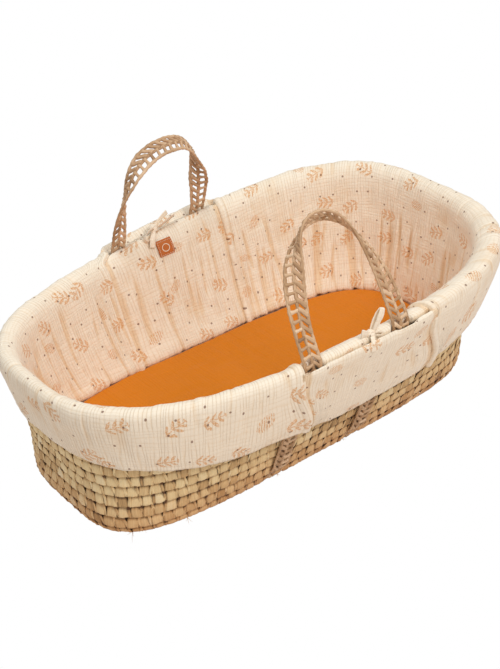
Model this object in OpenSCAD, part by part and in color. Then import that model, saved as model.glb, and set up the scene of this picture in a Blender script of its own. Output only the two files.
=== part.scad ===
// Moses basket: a plaited palm-leaf basket with two carrying straps, a padded muslin liner
// in sections, two tied bows, a foam mattress and its fitted sheet. Millimetres.
// Origin: middle of the underside. +X points to the head end, +Y to the far side, +Z up.

/* [Basket] */
// Half length of the wall's centre line at the rim
rim_half_length = 400; // [380:1:420]
// Half width of the wall's centre line at the rim
rim_half_width = 226; // [215:1:240]
// How much wider the head end is than the middle, as a share of the width
rim_taper = 0.107; // [0:0.001:0.12]
// Half length of the wall's centre line at the floor
base_half_length = 367; // [350:1:380]
// Half width of the wall's centre line at the floor
base_half_width = 145; // [138:1:155]
// Shift of the base towards the head end
base_shift = 10; // [0:1:12]
// Thickness of the plaited wall
wall_thickness = 9; // [7:0.5:10]
// Thickness of the base mat
base_thickness = 9; // [8:0.5:10]
// Height of the rim binding
binding_height = 12; // [8:1:16]

/* [Rim height] */
// Height of the padded rim at mid length
rim_height = 257; // [245:1:270]
// Rise of the rim from mid length to the head end that a straight line gives
rim_slope = 25; // [0:1:30]
// Extra rise of both ends that a parabola gives
rim_curve = 15; // [0:1:20]
// Depth of the padding on top of the wall
rim_padding = 16; // [12:1:20]

/* [Straps and handles] */
// Width of the braided strap
strap_width = 32; // [28:1:40]
// Thickness of the braided strap
strap_thickness = 5; // [4:0.5:6]
// Places along X of the foot and head straps at the near rim
strap_near_x = [-90, 73];
// Places along X of the foot and head straps at the far rim
strap_far_x = [-98, 73];
// Height of the near handle's arch along its own plane
near_arch_height = 184; // [160:1:200]
// Lean of the near handle towards the middle, in degrees from upright
near_lean = 32; // [0:1:45]
// How far the near arch's top leans towards the head end
near_sway = 6; // [0:1:12]
// Height of the far handle's arch along its own plane
far_arch_height = 158; // [150:1:200]
// Lean of the far handle towards the middle, in degrees from upright
far_lean = 12; // [0:1:45]

/* [Liner] */
// Padding thickness of the inner panels above the mattress
liner_inner_pad = 8; // [6:0.5:10]
// Thickness of the outer skirt
liner_skirt_pad = 7; // [5:0.5:8]
// Height of the skirt's lower edge at mid length
skirt_height = 110; // [90:1:130]
// Rise of the skirt's lower edge at the head end
skirt_rise_head = 89; // [60:1:100]
// Rise of the skirt's lower edge at the foot end
skirt_rise_foot = 43; // [30:1:60]
// Places along X of the near side's two seams at the rim
near_seams = [-112, 135];
// Places along X of the far side's two seams at the rim
far_seams = [-128, 118];

/* [Mattress] */
// Thickness of the foam
mattress_thickness = 54; // [40:1:56]
// Half length of the mattress
mattress_half_length = 357; // [340:1:358]
// Half width of the mattress
mattress_half_width = 144; // [135:1:145]

/* [Hidden] */
COURSES = 11;
COURSE_NAMES = [for (i = [1:COURSES]) str("wall_course_", i < 10 ? "0" : "", i)];

palm = "burlywood";
palm_strap = "tan";
muslin = "bisque";
ochre = "goldenrod";

NEAR = -1;
FAR = 1;
rim_power = 3;            // squareness of the rim's outline
base_power = 4.2;         // squareness of the base's outline
turn_steps = 72;          // sections in a full turn round the basket
gap = 0.4;                // clearance between neighbouring solids
half_wall = wall_thickness / 2;
course_gap = 0.4;         // clearance between courses

// Offsets are measured outwards from the wall's centre line.
strap_offset = half_wall + 3 + strap_thickness / 2;
skirt_inner = strap_offset + strap_thickness / 2 + 1;
skirt_outer = skirt_inner + liner_skirt_pad;
panel_outer = -(half_wall + 0.8);
panel_inner = panel_outer - liner_inner_pad;
tuck_inner = panel_outer - 3;        // the panel is squeezed thin beside the mattress
groove_room = 2.2;                   // room between a flap and the strap in the groove
flap_edge = strap_offset - strap_thickness / 2 - groove_room;
hinge_rise = 7;                      // hinge axis above the padded rim
channel_depth = strap_thickness + 0.3;
corner_height = strap_thickness + 3; // notch under the lowest course where a strap turns up
panel_bottom = base_thickness + 3;
mattress_bottom = panel_bottom + 2;
mattress_top = mattress_bottom + mattress_thickness;
tuck_top = mattress_top + 4;
sheet_thickness = 1.6;

// --- shape functions -------------------------------------------------------------------

function signed_power(v, e) = (v < 0 ? -1 : 1) * pow(abs(v), e);

// Half outline of a superellipse: share of the half width at share u of the half length.
function outline(u, power) = pow(max(0, 1 - pow(abs(u), power)), 1 / power);

// Heights that depend on the place along the rim.
function rim_top(x) =
    rim_height + rim_slope * x / rim_half_length + rim_curve * pow(x / rim_half_length, 2);
function wall_top(x) = rim_top(x) - rim_padding;
function skirt_bottom(x) = skirt_height
    + (x > 0 ? skirt_rise_head : skirt_rise_foot) * pow(x / rim_half_length, 2);

// Point on the ruled wall. u runs -1..1 along the basket, side is NEAR or FAR,
// z is the height and off the offset outwards.
function wall_x(u, f, off) =
    (1 - f) * (base_shift + (base_half_length + off) * u) + f * (rim_half_length + off) * u;
function wall_y(u, f, off) =
    (1 - f) * (base_half_width + off) * outline(u, base_power)
    + f * (rim_half_width + off) * (1 + rim_taper * u) * outline(u, rim_power);
function wall_point(u, side, z, off) =
    let (f = z / wall_top(rim_half_length * u))
    [wall_x(u, f, off), side * wall_y(u, f, off), z];

// The same point from the angle t round the basket: 0 is the head end, 90 the far side.
function angle_u(t) = signed_power(cos(t), 2 / rim_power);
function wall_at(t, z, off) = wall_point(angle_u(t), sin(t) < 0 ? NEAR : FAR, z, off);
function rim_x(t) = rim_half_length * angle_u(t);

// Angle of a place x on the rim, on the near or the far side.
function rim_angle(x, side) =
    let (a = acos(signed_power(x / rim_half_length, rim_power / 2))) side == FAR ? a : 360 - a;

function reversed(list) = [for (k = [len(list) - 1:-1:0]) list[k]];

// A closed section from two chains of points of the same length, one on each face.
function section(outside, inside) = concat(outside, reversed(inside));

// A solid through a list of closed sections, each with the same even number of points.
// ring = true joins the last section to the first. Otherwise both ends are capped by
// strips that join each point to its partner on the other chain.
module loft(sections, ring = false) {
    n = len(sections[0]);
    m = len(sections);
    steps = ring ? m : m - 1;
    sides = [for (i = [0:steps - 1], j = [0:n - 1])
        let (a = i * n + j, b = i * n + (j + 1) % n,
             c = ((i + 1) % m) * n + (j + 1) % n, d = ((i + 1) % m) * n + j)
        each [[a, d, c], [a, c, b]]];
    strip = [for (j = [0:n / 2 - 2]) each [[j, j + 1, n - 2 - j], [j, n - 2 - j, n - 1 - j]]];
    end = (m - 1) * n;
    caps = ring ? [] : concat(strip, [for (q = strip) [q[2] + end, q[1] + end, q[0] + end]]);
    polyhedron(points = [for (s = sections, p = s) p], faces = concat(sides, caps));
}

// Sections of a profile swept round the wall. profile(x) gives [off, z] pairs.
function swept(from_t, to_t, steps, profile) = [for (i = [0:steps])
    let (t = from_t + (to_t - from_t) * i / steps)
    [for (p = profile(rim_x(t))) wall_at(t, p[1], p[0])]];

// --- basket -----------------------------------------------------------------------------

// Outline of the base mat, shrunk by inset.
function base_outline(inset) = [for (i = [0:turn_steps - 1])
    let (p = wall_at(i * 360 / turn_steps, 0, -inset)) [p[0], p[1]]];

// Straight bar under the base in line with one strap, used to cut room for it.
module strap_channel(i, height, clearance) {
    near = strap_point(i, NEAR, 0);
    far = strap_point(i, FAR, 0);
    middle = (near + far) / 2;
    along = far - near;
    translate([middle[0], middle[1], 0])
        rotate(atan2(along[1], along[0]))
            translate([-base_half_width * 2, -strap_width / 2 - clearance, -1])
                cube([base_half_width * 4, strap_width + 2 * clearance, height + 1]);
}

module base_mat() {
    color(palm)
        difference() {
            linear_extrude(base_thickness) polygon(base_outline(half_wall + gap));
            for (i = [0, 1]) strap_channel(i, channel_depth, 1);
        }
}

// One plaited course: a ring between two heights of the wall.
module course(i) {
    usable = function (x) wall_top(x) - binding_height;
    low = function (x) usable(x) * (i - 1) / COURSES;
    high = function (x) usable(x) * i / COURSES - course_gap;
    profile = function (x) [[-half_wall, low(x)], [half_wall, low(x)],
                            [half_wall, high(x)], [-half_wall, high(x)]];
    full = swept(0, 360, turn_steps, profile);
    color(palm)
        difference() {
            loft([for (k = [0:turn_steps - 1]) full[k]], ring = true);
            if (i == 1) for (s = [0, 1]) strap_channel(s, corner_height, 1.5);
        }
}

module rim_binding() {
    swell = 0.5;
    profile = function (x) let (low = wall_top(x) - binding_height, high = wall_top(x))
        [[-half_wall, low], [half_wall, low], [half_wall + swell, high - 4],
         [half_wall - 2, high], [2 - half_wall, high], [-half_wall - swell / 2, high - 4]];
    full = swept(0, 360, turn_steps, profile);
    color(palm) loft([for (k = [0:turn_steps - 1]) full[k]], ring = true);
}

// --- straps and handles -------------------------------------------------------------------

// Centre of strap i (0 foot, 1 head) on one side of the wall at height z.
function strap_x(i, side) = side == NEAR ? strap_near_x[i] : strap_far_x[i];
function strap_point(i, side, z) =
    let (x = strap_x(i, side),
         f = z / wall_top(x),
         u = (x - (1 - f) * base_shift) / ((1 - f) * base_half_length + f * rim_half_length))
    [x, side * wall_y(u, f, strap_offset), z];

// Centre line of one strap from the near rim, under the base, to the far rim.
function strap_side(i, side) =
    let (foot = strap_point(i, side, 0))
    concat([for (y = [-9, -3]) [foot[0], foot[1] + side * y, strap_thickness / 2 + (y + 9) / 6]],
           [[foot[0], foot[1] + side * 1, 8.5]],
           [for (k = [0:6]) strap_point(i, side, 16 + (rim_top(foot[0]) - 16) * k / 6)]);
function strap_path(i) = concat(reversed(strap_side(i, NEAR)), strap_side(i, FAR));

function unit(v) = v / norm(v);

// Flat band along a path: width runs along each given direction, thickness across it.
function band_section(p, across, normal) = [
    p - across * strap_width / 2 - normal * strap_thickness / 2,
    p + across * strap_width / 2 - normal * strap_thickness / 2,
    p + across * strap_width / 2 + normal * strap_thickness / 2,
    p - across * strap_width / 2 + normal * strap_thickness / 2];

module strap(i) {
    path = strap_path(i);
    last = len(path) - 1;
    tangent = [for (k = [0:last]) unit(path[min(k + 1, last)] - path[max(k - 1, 0)])];
    color(palm_strap)
        loft([for (k = [0:last])
            let (normal = unit(cross([1, 0, 0], tangent[k])),
                 across = unit(cross(tangent[k], normal)))
            band_section(path[k], across, normal)]);
}

// Hinge points of a handle's two legs, where the strap leaves the padded rim.
function hinge_point(i, side) =
    let (p = strap_point(i, side, wall_top(strap_x(i, side))))
    [p[0], p[1], rim_top(p[0]) + hinge_rise];

// 0 before from, 1 after to, smooth between them.
function eased(from, to, v) =
    let (s = min(1, max(0, (v - from) / (to - from)))) s * s * (3 - 2 * s);

// An arch of strap in its own leaning plane. squareness is the arch's power, and sway shifts its
// top towards the head end. The band rolls over by an angle and back: rise and fall are the
// shares of the arch where it does so.
module handle(side, height, lean, sway, squareness, roll, rise, fall) {
    foot = hinge_point(0, side);
    head = hinge_point(1, side);
    along = unit(head - foot);
    half_span = norm(head - foot) / 2;
    middle = (foot + head) / 2;
    upright = unit([0, 0, 1] - along * along[2]);
    outwards = unit(cross(along, upright)) * (side == NEAR ? 1 : -1);
    up = upright * cos(lean) - outwards * sin(lean);
    face = outwards * cos(lean) + upright * sin(lean);
    arch_steps = 36;
    point = function (a) middle
        + along * (half_span * signed_power(-cos(a), 2 / squareness) + sway * sin(a))
        + up * height * signed_power(sin(a), 2 / squareness);
    turn = function (a)
        roll * eased(rise[0], rise[1], a / 180) * (1 - eased(fall[0], fall[1], a / 180));
    color(palm_strap) {
        loft([for (k = [0:arch_steps])
            let (a = 180 * k / arch_steps,
                 ahead = point(min(180, a + 0.5)),
                 behind = point(max(0, a - 0.5)),
                 tangent = unit(ahead - behind),
                 outer = unit(cross(face, tangent)) * (side == NEAR ? -1 : 1),
                 across = unit(-outer * cos(turn(a)) + face * sin(turn(a))))
            band_section(point(a), across, unit(cross(tangent, across)))]);
        for (p = [foot, head])
            translate(p)
                multmatrix([[along[0], -along[1], 0, 0],
                            [along[1], along[0], 0, 0],
                            [along[2], 0, 1, 0]])
                    rotate([0, 90, 0])
                        cylinder(h = strap_width, r = strap_thickness / 2, center = true, $fn = 24);
    }
}

module handle_near() {
    handle(NEAR, near_arch_height, near_lean, near_sway, 2.13, -122, [0.06, 0.45], [0.45, 1]);
}

module handle_far() {
    handle(FAR, far_arch_height, far_lean, 0, 2.5, -108, [-0.05, 0.4], [0.74, 1.02]);
}

// --- liner --------------------------------------------------------------------------------

// Chains of the inner panel and of the rolled rim, from the mattress up and over the wall.
function panel_face(top) = [
    [tuck_inner, panel_bottom], [tuck_inner, tuck_top], [panel_inner, tuck_top + 4],
    [panel_inner, top - 22], [-8, top - 6], [2, top]];
function panel_back(wall) = [
    [panel_outer, panel_bottom], [panel_outer, tuck_top], [panel_outer, tuck_top + 4],
    [panel_outer, wall - 12], [panel_outer, wall], [2, wall]];

// Full section: inner panel, rolled rim and outer skirt in one piece.
full_profile = function (x) let (top = rim_top(x), wall = wall_top(x) + 1, low = skirt_bottom(x))
    section(concat(panel_face(top),
                   [[skirt_inner - 1, top - 2], [skirt_outer, top - 14], [skirt_outer, low]]),
            concat(panel_back(wall),
                   [[skirt_inner, wall], [skirt_inner, wall - 12], [skirt_inner, low]]));

// Inner flap: the panel and the inner half of the rolled rim.
inner_profile = function (x) let (top = rim_top(x), wall = wall_top(x) + 1)
    section(concat(panel_face(top), [[flap_edge, top - 3]]),
            concat(panel_back(wall), [[flap_edge, wall]]));

// Outer flap: the skirt and the outer lip of the rolled rim.
outer_profile = function (x) let (top = rim_top(x), low = skirt_bottom(x))
    section([[skirt_outer + 1, low], [skirt_outer + 1, top - 12], [skirt_inner + 4, top - 3]],
            [[skirt_inner + 1.2, low], [skirt_inner + 1.2, top - 14], [skirt_inner + 1.2, top - 3]]);

seam_gap = 0.5;           // degrees between neighbouring sections
flap_steps = 16;

module liner_foot() {
    color(muslin)
        loft(swept(rim_angle(far_seams[0] - seam_gap, FAR), rim_angle(near_seams[0] - seam_gap, NEAR),
                   34, full_profile));
}

module liner_head() {
    color(muslin)
        loft(swept(rim_angle(near_seams[1] + seam_gap, NEAR) - 360,
                   rim_angle(far_seams[1] + seam_gap, FAR), 34, full_profile));
}

module flap(side, profile) {
    seams = side == NEAR ? near_seams : far_seams;
    ends = [rim_angle(seams[0] + seam_gap, side), rim_angle(seams[1] - seam_gap, side)];
    color(muslin) loft(swept(min(ends), max(ends), flap_steps, profile));
}

// --- bows and tag -------------------------------------------------------------------------

near_bow_x = 16;
far_bow_x = -24;
knot_half = 6;            // half the height and depth of the knot
ribbon_half = 2.4;        // half the height and depth of a folded ribbon

// A square bar through points that run mainly along X, with a half size at each point.
module ribbon_bar(points, halves) {
    loft([for (i = [0:len(points) - 1])
        let (p = points[i], h = halves[i])
        [p + [0, -h, -h], p + [0, h, -h], p + [0, h, h], p + [0, -h, h]]]);
}

// A bow that ties the inner flap to the outer flap over the groove: two loops through a
// thick knot, and two tails that leave the knot below them.
module bow(x, side) {
    p = wall_point(x / rim_half_length, side, wall_top(x), (flap_edge + skirt_inner) / 2);
    color(muslin)
        translate([p[0], p[1], rim_top(x) + knot_half + 1]) {
            ribbon_bar([[-30, 6, 14], [-9, 2, 3], [-5, 0, 0], [5, 0, 0], [9, -2, 5], [34, -6, 24]],
                       [ribbon_half, ribbon_half, knot_half, knot_half, ribbon_half, ribbon_half]);
            ribbon_bar([[-24, -14, 0], [-4, -3, -1], [4, 3, -1], [22, 13, 1]],
                       [ribbon_half, ribbon_half, ribbon_half, ribbon_half]);
        }
}

tag_size = 30;
tag_thickness = 1.2;
tag_x = -21;
tag_lift = 0.6;           // room between the tag and the panel

// The tag lies over the upper edge of the far inner panel, where it starts to roll outwards.
module label_tag() {
    profile = function (x) let (top = rim_top(x), off = panel_inner - tag_lift) section(
        [[off - tag_thickness, top - 36], [off - tag_thickness, top - 22],
         [-8 - tag_lift - tag_thickness, top - 7]],
        [[off, top - 36], [off, top - 22], [-8 - tag_lift, top - 7]]);
    color("chocolate")
        loft(swept(rim_angle(tag_x + tag_size / 2, FAR), rim_angle(tag_x - tag_size / 2, FAR),
                   2, profile));
}

// --- mattress -----------------------------------------------------------------------------

mattress_power = 3.6;

// Mattress outline at height z, grown by grow.
function mattress_ring(grow, z) = [for (i = [0:turn_steps - 1])
    let (t = i * 360 / turn_steps,
         u = angle_u(t))
    [base_shift + (mattress_half_length + grow) * u,
     (sin(t) < 0 ? -1 : 1) * (mattress_half_width + grow) * outline(u, mattress_power), z]];

// Foam block with rounded lower and upper edges, grown by grow.
module mattress_block(grow) {
    loft([mattress_ring(grow - 8, mattress_bottom - grow),
          mattress_ring(grow - 2.5, mattress_bottom + 10),
          mattress_ring(grow, mattress_bottom + 24),
          mattress_ring(grow, mattress_top - 8),
          mattress_ring(grow - 7, mattress_top + grow)]);
}

module mattress() {
    color("white") mattress_block(0);
}

module fitted_sheet() {
    opening = 45;             // how far the elastic edge turns in underneath
    color(ochre)
        difference() {
            mattress_block(sheet_thickness + 0.2);
            mattress_block(0.2);
            translate([0, 0, -1])
                linear_extrude(mattress_bottom + 1.5)
                    polygon([for (p = mattress_ring(-opening, 0)) [p[0], p[1]]]);
        }
}

// --- nodes --------------------------------------------------------------------------------

base_mat();
for (i = [1:COURSES]) course(i);
rim_binding();
strap(0);  // strap_foot
strap(1);  // strap_head
handle_near();
handle_far();
liner_foot();
liner_head();
flap(NEAR, inner_profile);  // liner_near_inner
flap(NEAR, outer_profile);  // liner_near_outer
flap(FAR, inner_profile);  // liner_far_inner
flap(FAR, outer_profile);  // liner_far_outer
bow(near_bow_x, NEAR);  // bow_near
bow(far_bow_x, FAR);  // bow_far
label_tag();
mattress();
fitted_sheet();
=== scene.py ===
"""Looks of the moses basket: a plaited palm wall, braided straps that become the handles, a
padded muslin liner with its bows and tag, and a foam mattress in a mustard muslin sheet.

Lengths are in metres in the row frame: +X to the head end, +Y to the far side, +Z up.
"""

import bmesh
import bpy
import numpy as np
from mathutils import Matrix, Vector


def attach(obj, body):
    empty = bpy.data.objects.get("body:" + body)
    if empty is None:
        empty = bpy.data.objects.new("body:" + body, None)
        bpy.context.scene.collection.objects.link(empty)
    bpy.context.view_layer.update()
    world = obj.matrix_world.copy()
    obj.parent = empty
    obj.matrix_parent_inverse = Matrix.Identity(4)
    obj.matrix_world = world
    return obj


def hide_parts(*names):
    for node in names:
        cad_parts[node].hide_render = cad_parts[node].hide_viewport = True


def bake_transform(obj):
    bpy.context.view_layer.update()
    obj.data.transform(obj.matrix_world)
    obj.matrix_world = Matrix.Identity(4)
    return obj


MM = 0.001
NEAR, FAR = -1, 1
FOOT, HEAD = 0, 1

# Shape of the wall: the same ruled surface as the CAD part.
RIM_HALF_LENGTH = 400 * MM
RIM_HALF_WIDTH = 226 * MM
RIM_TAPER = 0.107
RIM_POWER = 3
BASE_HALF_LENGTH = 367 * MM
BASE_HALF_WIDTH = 145 * MM
BASE_SHIFT = 10 * MM
BASE_POWER = 4.2
HALF_WALL = 4.5 * MM
BINDING_HEIGHT = 12 * MM
COURSES = 11
END_BULGE = 7.5 * MM        # how far the plait swells out low down at both ends
LEAF_PITCH = 17.5 * MM

# Straps and handles.
STRAP_OFFSET = 10 * MM
STRAP_WIDTH = 32 * MM
STRAP_X = {NEAR: (-90 * MM, 73 * MM), FAR: (-98 * MM, 73 * MM)}
HINGE_RISE = 7 * MM
GROOVE_DEPTH = 30 * MM      # how far below the rim a handle's strap piece starts
LINK_PITCH = 13 * MM

# Liner.
SEAM_X = {NEAR: (-112 * MM, 135 * MM), FAR: (-128 * MM, 118 * MM)}
SEAM_SLANT = 34 * MM        # near seam at the foot, and below it the one at the head
HEAD_SEAM_SLANT = 48 * MM
INNER_SEAM_SHIFT = 24 * MM  # far seam at the foot, on the inside
LAP, GAP = 6 * MM, 0.5 * MM
GAUZE_PITCH = 5.2 * MM
MOTIF_PITCH = 66 * MM
DOT_PITCH = 36 * MM

# Mattress.
MATTRESS_HALF_LENGTH = 357 * MM
MATTRESS_HALF_WIDTH = 144 * MM
MATTRESS_POWER = 3.6
MATTRESS_BOTTOM = 14 * MM
MATTRESS_TOP = 68 * MM


# --- shape functions --------------------------------------------------------------------------


def outline(u, power):
    """Share of the half width of a superellipse at share u of its half length."""
    return np.maximum(0, 1 - np.abs(u) ** power) ** (1 / power)


def signed_power(value, exponent):
    """The power of a value's size, with its sign kept."""
    return np.sign(value) * np.abs(value) ** exponent


def rim_top(x):
    """Height of the padded rim, which rises to the head."""
    share = x / RIM_HALF_LENGTH
    return 257 * MM + 25 * MM * share + 15 * MM * share**2


def wall_top(x):
    """Height of the plaited wall, under the liner's padding."""
    return rim_top(x) - 16 * MM


def skirt_low(x):
    """Height of the skirt's lower edge, which rises at both ends."""
    rise = np.where(x > 0, 89 * MM, 43 * MM)
    return 110 * MM + rise * (x / RIM_HALF_LENGTH) ** 2


def angle_share(t):
    """Share of the half length at angle t round the basket."""
    return signed_power(np.cos(t), 2 / RIM_POWER)


def rim_x(t):
    """The rim's x at angle t."""
    return RIM_HALF_LENGTH * angle_share(t)


def wall_at(t, z, off):
    """Points at angle t round the basket, height z, and off outwards from the wall's middle."""
    u = angle_share(t)
    side = np.where(np.sin(t) < 0, NEAR, FAR)
    f = z / wall_top(RIM_HALF_LENGTH * u)
    x = (1 - f) * (BASE_SHIFT + (BASE_HALF_LENGTH + off) * u) + f * (RIM_HALF_LENGTH + off) * u
    y = (1 - f) * (BASE_HALF_WIDTH + off) * outline(u, BASE_POWER)
    y = y + f * (RIM_HALF_WIDTH + off) * (1 + RIM_TAPER * u) * outline(u, RIM_POWER)
    return np.stack([x, side * y, z + 0 * x], -1)


def rim_angle(x, side):
    """Angle at which one side of the rim passes x."""
    angle = np.arccos(signed_power(x / RIM_HALF_LENGTH, RIM_POWER / 2))
    return angle if side == FAR else 2 * np.pi - angle


def running_length(points):
    """Distance along a row of points, at each of them."""
    return np.append(0, np.cumsum(np.linalg.norm(np.diff(points, axis=0), axis=1)))


def ring_table(ring):
    """Angles round a ring of points, and the distances along the ring at them."""
    w = np.linspace(0, 1, 1201)[:-1]
    eased = w**3 * (10 - 15 * w + 6 * w * w)
    t = np.append(np.concatenate([(q + eased) * np.pi / 2 for q in range(4)]), 2 * np.pi)
    return t, running_length(ring(t))


RIM_TABLE = ring_table(lambda t: wall_at(t, wall_top(rim_x(t)), 0))
RIM_LENGTH = RIM_TABLE[1][-1]


def rim_angle_at(s):
    """Angle at distance s along the rim, which may pass the start either way."""
    turns = np.floor(s / RIM_LENGTH)
    return np.interp(s - turns * RIM_LENGTH, RIM_TABLE[1], RIM_TABLE[0])


def rim_distance(x, side):
    """Distance along the rim at which one side passes x."""
    return np.interp(rim_angle(x, side), RIM_TABLE[0], RIM_TABLE[1])


def noise(u, v, seed=0):
    """Smooth noise from -1 to 1 at the places u, v."""
    iu, iv = np.floor(u), np.floor(v)
    fu, fv = u - iu, v - iv
    fu, fv = fu * fu * (3 - 2 * fu), fv * fv * (3 - 2 * fv)

    def corner(a, b):
        h = np.sin(a * 127.1 + b * 311.7 + seed * 74.7) * 43758.5453
        return 2 * (h - np.floor(h)) - 1

    low = corner(iu, iv) * (1 - fu) + corner(iu + 1, iv) * fu
    high = corner(iu, iv + 1) * (1 - fu) + corner(iu + 1, iv + 1) * fu
    return low * (1 - fv) + high * fv


def smoothstep(low, high, value):
    """0 up to low, 1 from high, smooth between them. low may be the greater one."""
    w = np.clip((value - low) / (high - low), 0, 1)
    return w * w * (3 - 2 * w)


def unit(v):
    """Vectors brought to length 1."""
    return v / np.maximum(np.linalg.norm(v, axis=-1, keepdims=True), 1e-12)


def catmull(knots, w):
    """Points of the smooth curve through knots, at places w that run from 0 to len - 1."""
    last = len(knots) - 1
    i = np.clip(np.floor(w).astype(int), 0, last - 1)
    f = (w - i).reshape(-1, *[1] * (knots.ndim - 1))
    p0, p1, p2, p3 = (knots[np.clip(i + k, 0, last)] for k in (-1, 0, 1, 2))
    return p1 + 0.5 * f * (p2 - p0 + f * (2 * p0 - 5 * p1 + 4 * p2 - p3
                                          + f * (3 * (p1 - p2) + p3 - p0)))


def even_places(knots, step):
    """Places w along the curve through knots that are about step apart."""
    w = np.linspace(0, len(knots) - 1, 60 * len(knots))
    length = running_length(catmull(knots, w))
    count = max(2, int(round(length[-1] / step)) + 1)
    return np.interp(np.linspace(0, length[-1], count), length, w)


def pairs(across, along):
    """A grid of places, with across along each row and along down the rows."""
    return np.stack(np.meshgrid(across, along), -1)


# --- meshes -----------------------------------------------------------------------------------


def add_object(name, data):
    """Makes an object of a mesh, lamp or camera and puts it in the scene."""
    thing = bpy.data.objects.new(name, data)
    bpy.context.scene.collection.objects.link(thing)
    return thing


class Shell:
    """Grids of points gathered into one mesh, with a place in metres for the cloth or fibre
    pattern, and a tone and a blush between 0 and 1 at each point."""

    def __init__(self):
        self.points, self.quads, self.places, self.caps = [], [], [], []
        self.tones, self.blushes = [], []
        self.count = 0

    def grid(self, points, places, tone=0.5, blush=0.0, closed=False, capped=False):
        """Adds a grid of points. closed joins the last column to the first, and then places
        has one column more. capped closes both ends of such a tube."""
        rows, cols = points.shape[:2]
        index = np.arange(rows * cols).reshape(rows, cols)
        corner = index if not closed else np.arange(rows * (cols + 1)).reshape(rows, cols + 1)
        if closed:
            index = np.concatenate([index, index[:, :1]], 1)

        def cells(a):
            return np.stack([a[:-1, :-1], a[:-1, 1:], a[1:, 1:], a[1:, :-1]], -1).reshape(-1, 4)

        self.quads.append(cells(index) + self.count)
        self.places.append(places.reshape(-1, 2)[cells(corner)])
        if capped:
            for row in (0, rows - 1):
                ring = index[row, :-1]
                self.caps.append((ring + self.count, places[row, :-1]))
        self.points.append(points.reshape(-1, 3))
        self.tones.append(np.broadcast_to(tone, (rows, cols)).reshape(-1))
        self.blushes.append(np.broadcast_to(blush, (rows, cols)).reshape(-1))
        self.count += rows * cols

    def build(self, name, material, body, replaces=(), blend=None):
        """Makes the object, which rides a body, or with blend stays on no body, its place baked
        into the mesh.
        """
        quads = np.concatenate(self.quads)
        faces = quads.tolist() + [ring.tolist() for ring, _ in self.caps]
        corners = np.concatenate([np.concatenate(self.places).reshape(-1, 2)]
                                 + [places for _, places in self.caps])
        mesh = bpy.data.meshes.new(name)
        mesh.from_pydata(np.concatenate(self.points).tolist(), [], faces)
        mesh.uv_layers.new(name="place").data.foreach_set("uv", corners.ravel())
        for label, values in (("tone", self.tones), ("blush", self.blushes)):
            attribute = mesh.attributes.new(label, "FLOAT", "POINT")
            attribute.data.foreach_set("value", np.concatenate(values).astype(np.float32))
        recalculate = bmesh.new()
        recalculate.from_mesh(mesh)
        bmesh.ops.recalc_face_normals(recalculate, faces=recalculate.faces)
        recalculate.to_mesh(mesh)
        recalculate.free()
        mesh.polygons.foreach_set("use_smooth", [True] * len(mesh.polygons))
        mesh.materials.append(material)
        piece = add_object(name, mesh)
        if blend:
            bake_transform(piece)
        else:
            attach(piece, body)
        if replaces:
            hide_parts(*replaces)
        return piece


def tube(shell, centre, side, normal, half_width, half_depth, sides=8, twist=0.0, lay=0.0,
         tone=0.5, blush=0.0):
    """A closed tube round a path. side and normal span its section, twist turns a two-strand
    section along it by that many radians, and lay is how deep the strands show."""
    theta = np.linspace(0, 2 * np.pi, sides + 1)[:-1]
    rows = len(centre)
    phase = (np.linspace(0, 1, rows) * twist)[:, None]
    swell = 1 + lay * np.cos(2 * theta[None, :] + phase)
    across = (np.broadcast_to(half_width, rows)[:, None] * np.cos(theta) * swell)[..., None]
    out = (np.broadcast_to(half_depth, rows)[:, None] * np.sin(theta) * swell)[..., None]
    points = centre[:, None] + side[:, None] * across + normal[:, None] * out
    girth = np.linspace(0, 2 * np.pi * np.mean(half_width), sides + 1)
    shell.grid(points, pairs(girth, running_length(centre)), tone, blush, closed=True,
               capped=True)


# --- materials --------------------------------------------------------------------------------


def srgb(*channels):
    """Linear colour of red, green and blue from 0 to 255."""
    c = np.array(channels) / 255
    linear = np.where(c <= 0.04045, c / 12.92, ((c + 0.055) / 1.055) ** 2.4)
    return (*[float(v) for v in linear], 1.0)


class Value:
    """An output of a material's node. Sums of such outputs add the nodes that work them out."""

    def __init__(self, nodes, socket):
        self.nodes, self.socket = nodes, socket

    def __add__(self, other):
        return self.nodes.math("ADD", self, other)

    def __sub__(self, other):
        return self.nodes.math("SUBTRACT", self, other)

    def __rsub__(self, other):
        return self.nodes.math("SUBTRACT", other, self)

    def __mul__(self, other):
        return self.nodes.math("MULTIPLY", self, other)

    def __truediv__(self, other):
        return self.nodes.math("DIVIDE", self, other)

    def __pow__(self, other):
        return self.nodes.math("POWER", self, other)

    def __abs__(self):
        return self.nodes.math("ABSOLUTE", self)


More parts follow.
